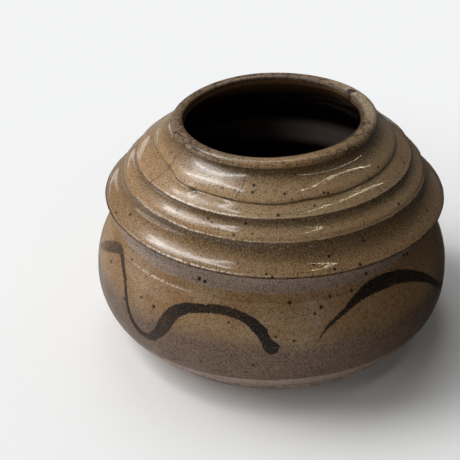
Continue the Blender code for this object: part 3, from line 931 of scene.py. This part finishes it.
def belly_finish():
    """Brown glaze with purple-grey zones above and below, and the iron brushwork."""
    material, tree, shader, place = blank("belly brown glaze")
    level = mark(tree, "level")
    drift = grain(tree, place, 30.0, 3.0)
    wavy = scaled(tree, drift, 9.0, number(tree, "ADD", level, -4.5))
    small = scaled(tree, grain(tree, place, 5.0, 3.0), 2.4, wavy)
    colour = tint(tree, fade(tree, drift, 0.40, 0.62), BELLY_BROWN, BELLY_PALE)
    left = number(tree, "MINIMUM", along(tree, place, "X"), 0.0)
    lower = scaled(tree, left, 0.05 / MM, small)
    colour = tint(tree, fade(tree, lower, 49.0, 35.0), colour, LOW_PURPLE)
    lowered = number(tree, "ADD", level, -0.8)
    border = scaled(tree, grain(tree, place, 2.2), 1.6, lowered)
    colour = tint(tree, fade(tree, border, 65.4, 66.1), colour, WAIST_PURPLE)
    heel = scaled(tree, grain(tree, place, 3.0), 1.6, lowered)
    clots = fade(tree, grain(tree, place, 2.6, 4.0, 0.75), 0.52, 0.68)
    clots = times(tree, clots, fade(tree, wavy, 44.0, 32.0))
    colour = tint(tree, times(tree, clots, 0.6), colour, DARK_GRAIN)
    colour = tint(tree, fade(tree, heel, 18.2, 17.2, 0.0, 0.9), colour, HEEL_PALE)
    colour, fine = add_speckle(tree, place, colour, 0.70, 0.32)
    # Painted highlight along the ledge on the left front
    colour = add_crest_highlight(tree, place, colour, 0.7)
    colour = add_patches(tree, place, colour, BELLY_BLOOMS, BLOOM)
    colour = add_iron_spots(tree, place, colour, 0.75, 0.14, 0.4)
    colour = add_placed_spots(tree, place, colour, BELLY_SPOTS)
    edge = number(tree, "ADD", mark(tree, "ink_edge"), -1.1)
    ragged = scaled(tree, grain(tree, place, 1.1, 3.0, 0.65), 2.2, edge)
    body = fade(tree, ragged, 0.20, -0.20)
    lanes = add(tree, "ShaderNodeCombineXYZ", {0: times(tree, mark(tree, "ink_along"), 0.10),
                                               1: mark(tree, "ink_across")}).outputs[0]
    dry = add(tree, "ShaderNodeTexNoise", {"Vector": lanes, "Scale": 1.5, "Detail": 3.0}).outputs["Fac"]
    load = number(tree, "ADD", mark(tree, "ink_load"), scaled(tree, dry, 1.1, -0.55))
    load = number(tree, "ADD", load, scaled(tree, fine, 0.9, -0.45))
    bare = scaled(tree, mark(tree, "ink_load"), -0.16, fine)
    body = times(tree, body, fade(tree, bare, 0.46, 0.60, 1.0, 0.55))
    strength = times(tree, body, fade(tree, load, 0.0, 0.6, 0.45, 0.99))
    iron = tint(tree, fade(tree, load, 0.35, 0.85), IRON_THIN, IRON)
    iron = tint(tree, fade(tree, fine, 0.48, 0.66, 0.0, 0.5), iron, IRON_THIN)
    colour = tint(tree, strength, colour, iron)
    darken_inside(tree, shader, place, colour)
    add_surface(tree, shader, place, fine, 0.10, 0.45, scaled(tree, strength, -0.28, 0.32))
    return material


def foot_finish():
    """Bare fired clay, matte and sandy."""
    material, tree, shader, place = blank("bare clay")
    rings = grain(tree, stretched(tree, place, (1.0, 1.0, 12.0)), 6.0, 3.0)
    colour = tint(tree, fade(tree, rings, 0.35, 0.65), BARE, BARE_DARK)
    colour, fine = add_speckle(tree, place, colour, 0.45, 0.15)
    feed(tree, shader, {"Base Color": colour})
    add_surface(tree, shader, place, fine, 0.15, 0.8)
    return material


def floor_glaze_finish():
    """Dark iron glaze that pooled on the jar's floor."""
    material, tree, shader, place = blank("dark inside glaze")
    pool = grain(tree, place, 9.0, 3.0)
    colour = tint(tree, pool, INSIDE_DARK, POOLED_IRON)
    feed(tree, shader, {"Base Color": colour})
    add_surface(tree, shader, place, pool, 0.05, 0.2)
    return material


def throw_jar():
    """All the sections, from the lip down."""
    tan = shoulder_finish()
    belly = belly_finish()
    lip = lip_finish()
    top = MOUTH_EDGE
    for node, slot, joint, material in (
            ("rolled_lip", "lip_glaze", LIP_JOINT, lip),
            ("shoulder_course_4", "shoulder_glaze", RIDGE_HEIGHTS[2], tan),
            ("shoulder_course_3", "shoulder_glaze", RIDGE_HEIGHTS[1], tan),
            ("shoulder_course_2", "shoulder_glaze", RIDGE_HEIGHTS[0], tan),
            ("shoulder_course_1", "shoulder_glaze", UNDERCUT_HEIGHT, tan),
            ("waist_band", "waist_glaze", SEAM_HEIGHT, belly),
            ("upper_bowl", "belly_glaze", BELLY_HEIGHT, belly),
            ("lower_bowl", "belly_glaze", FLOOR_HEIGHT, belly)):
        inside = even(between(INSIDE_CURVE, top, joint)[::-1], INSIDE_STEP)
        if node == "lower_bowl":
            inside = np.vstack([[(BASE_RADIUS, FOOT_HEIGHT)], inside])
        turned(node, [(OUTSIDES[node], 0.0), (inside, 1.0)], slot, material)
        top = joint
    upside = even([(0.0, FLOOR_HEIGHT), (BASE_RADIUS, FLOOR_HEIGHT)], SLAB_STEP)
    underside = even([(BASE_RADIUS, FOOT_HEIGHT), (0.0, FOOT_HEIGHT)], SLAB_STEP)
    turned("base_slab", [(upside, 1.0), (underside, 0.0)], "floor_glaze", floor_glaze_finish())
    outer, inner = FOOT_RADIUS, FOOT_RADIUS - FOOT_WIDTH
    middle = FOOT_ROUND / 3
    ring = [(outer, FOOT_HEIGHT), (outer, FOOT_ROUND), (outer - middle, middle), (outer - FOOT_ROUND, 0.0),
            (inner + FOOT_ROUND, 0.0), (inner + middle, middle), (inner, FOOT_ROUND), (inner, FOOT_HEIGHT)]
    turned("foot_ring", [(even(ring, FOOT_STEP), 0.0)], "bare_clay", foot_finish())


def aimed_lamp(name, azimuth, elevation, distance, width, height, power, lean, shape,
               mirrored=True, colour=DAYLIGHT):
    """A flat light that shines at the shoulder from a direction, azimuth 0 along +X."""
    light = bpy.data.lights.new(name, "AREA")
    light.shape = shape
    light.size, light.size_y = width, height
    light.energy = power
    light.color = colour
    lamp = bpy.data.objects.new(name, light)
    a, e = math.radians(azimuth), math.radians(elevation)
    away = Vector((math.cos(a) * math.cos(e), math.sin(a) * math.cos(e), math.sin(e)))
    lamp.location = Vector(LAMP_AIM) + away * distance
    lamp.visible_glossy = mirrored
    lamp.rotation_mode = "QUATERNION"
    lamp.rotation_quaternion = (-away).to_track_quat("-Z", "Y") @ Quaternion((0, 0, 1), math.radians(lean))
    bpy.context.scene.collection.objects.link(lamp)


def set_stage():
    """A pale floor that fades into a white room, and soft light from high on the left."""
    bpy.ops.mesh.primitive_plane_add(size=6.0)
    floor = bpy.context.object
    floor.name = "studio_floor"
    floor.data.materials.append(floor_finish())
    world = bpy.data.worlds.new("studio")
    bpy.context.scene.world = world
    world.use_nodes = True
    tree = world.node_tree
    path = add(tree, "ShaderNodeLightPath")
    way = add(tree, "ShaderNodeTexCoord").outputs["Generated"]
    behind = fade(tree, along(tree, way, "Y"), 0.35, 1.0, 0.04, 0.12)
    sideways = vector(tree, "DOT_PRODUCT", way, ROOM_SIDE)
    room = fade(tree, sideways, -0.35, 0.95, ROOM_DARK, ROOM_BRIGHT)
    mirrored = number(tree, "MAXIMUM", path.outputs["Is Glossy Ray"], path.outputs["Is Transmission Ray"])
    light = add(tree, "ShaderNodeMix", {0: mirrored, 2: room, 3: behind}).outputs[0]
    strength = add(tree, "ShaderNodeMix",
                   {0: path.outputs["Is Camera Ray"], 2: light, 3: SEEN_WHITE}).outputs[0]
    feed(tree, tree.nodes["Background"], {"Color": WHITE, "Strength": strength})
    for n, (width, power) in enumerate(ROOF_WINDOWS):
        aimed_lamp("roof_window_%d" % (n + 1), 166.8, 61.6, 2.38 + 0.01 * n, width, 1.45 + width, power,
                   -32.0, "RECTANGLE")
    for n, (width, power) in enumerate(ROOF_GLOWS):
        aimed_lamp("roof_glow_%d" % (n + 1), 160, 56, 2.4 + 0.05 * n, width, width * 1.2, power,
                   -30.0, "ELLIPSE")
    for lamp in LAMPS:
        aimed_lamp(*lamp)


def floor_finish():
    """Matt white, which turns into the plain white of the room far from the jar."""
    material, tree, shader, place = blank("studio floor")
    reach = vector(tree, "LENGTH", place)
    path = add(tree, "ShaderNodeLightPath")
    seen = path.outputs["Is Camera Ray"]
    right = vector(tree, "DOT_PRODUCT", place, (0.98, -0.17, 0.0))
    behind = fade(tree, along(tree, place, "Y"), 0.0, 0.25, 0.45, 0.75)
    mirrored = times(tree, behind, path.outputs["Is Glossy Ray"])
    dim = times(tree, fade(tree, right, 0.03, 0.14), number(tree, "SUBTRACT", 1.0, seen))
    dim = number(tree, "MAXIMUM", dim, mirrored)
    feed(tree, shader, {"Base Color": tint(tree, dim, FLOOR_WHITE, FLOOR_DIM), "Roughness": 0.9,
                        "Specular IOR Level": 0.1})
    far = times(tree, fade(tree, reach, 0.10, 0.32), seen)
    room = add(tree, "ShaderNodeEmission", {"Color": WHITE, "Strength": SEEN_WHITE})
    both = add(tree, "ShaderNodeMixShader", {0: far, 1: shader.outputs[0], 2: room.outputs[0]})
    feed(tree, tree.nodes["Material Output"], {"Surface": both.outputs[0]})
    return material


def place_camera():
    """The photograph's view, with its small tilt."""
    data = bpy.data.cameras.new("camera")
    data.lens = CAMERA_LENS
    camera = bpy.data.objects.new("camera", data)
    bpy.context.scene.collection.objects.link(camera)
    turn = (Matrix.Rotation(math.radians(CAMERA_YAW), 4, "Z")
            @ Matrix.Rotation(math.radians(90 - CAMERA_PITCH), 4, "X")
            @ Matrix.Rotation(math.radians(CAMERA_ROLL), 4, "Z"))
    camera.matrix_world = Matrix.Translation(Vector(CAMERA_PLACE) * MM) @ turn
    bpy.context.scene.camera = camera


throw_jar()
set_stage()
place_camera()
bpy.context.scene.view_settings.view_transform = "Standard"
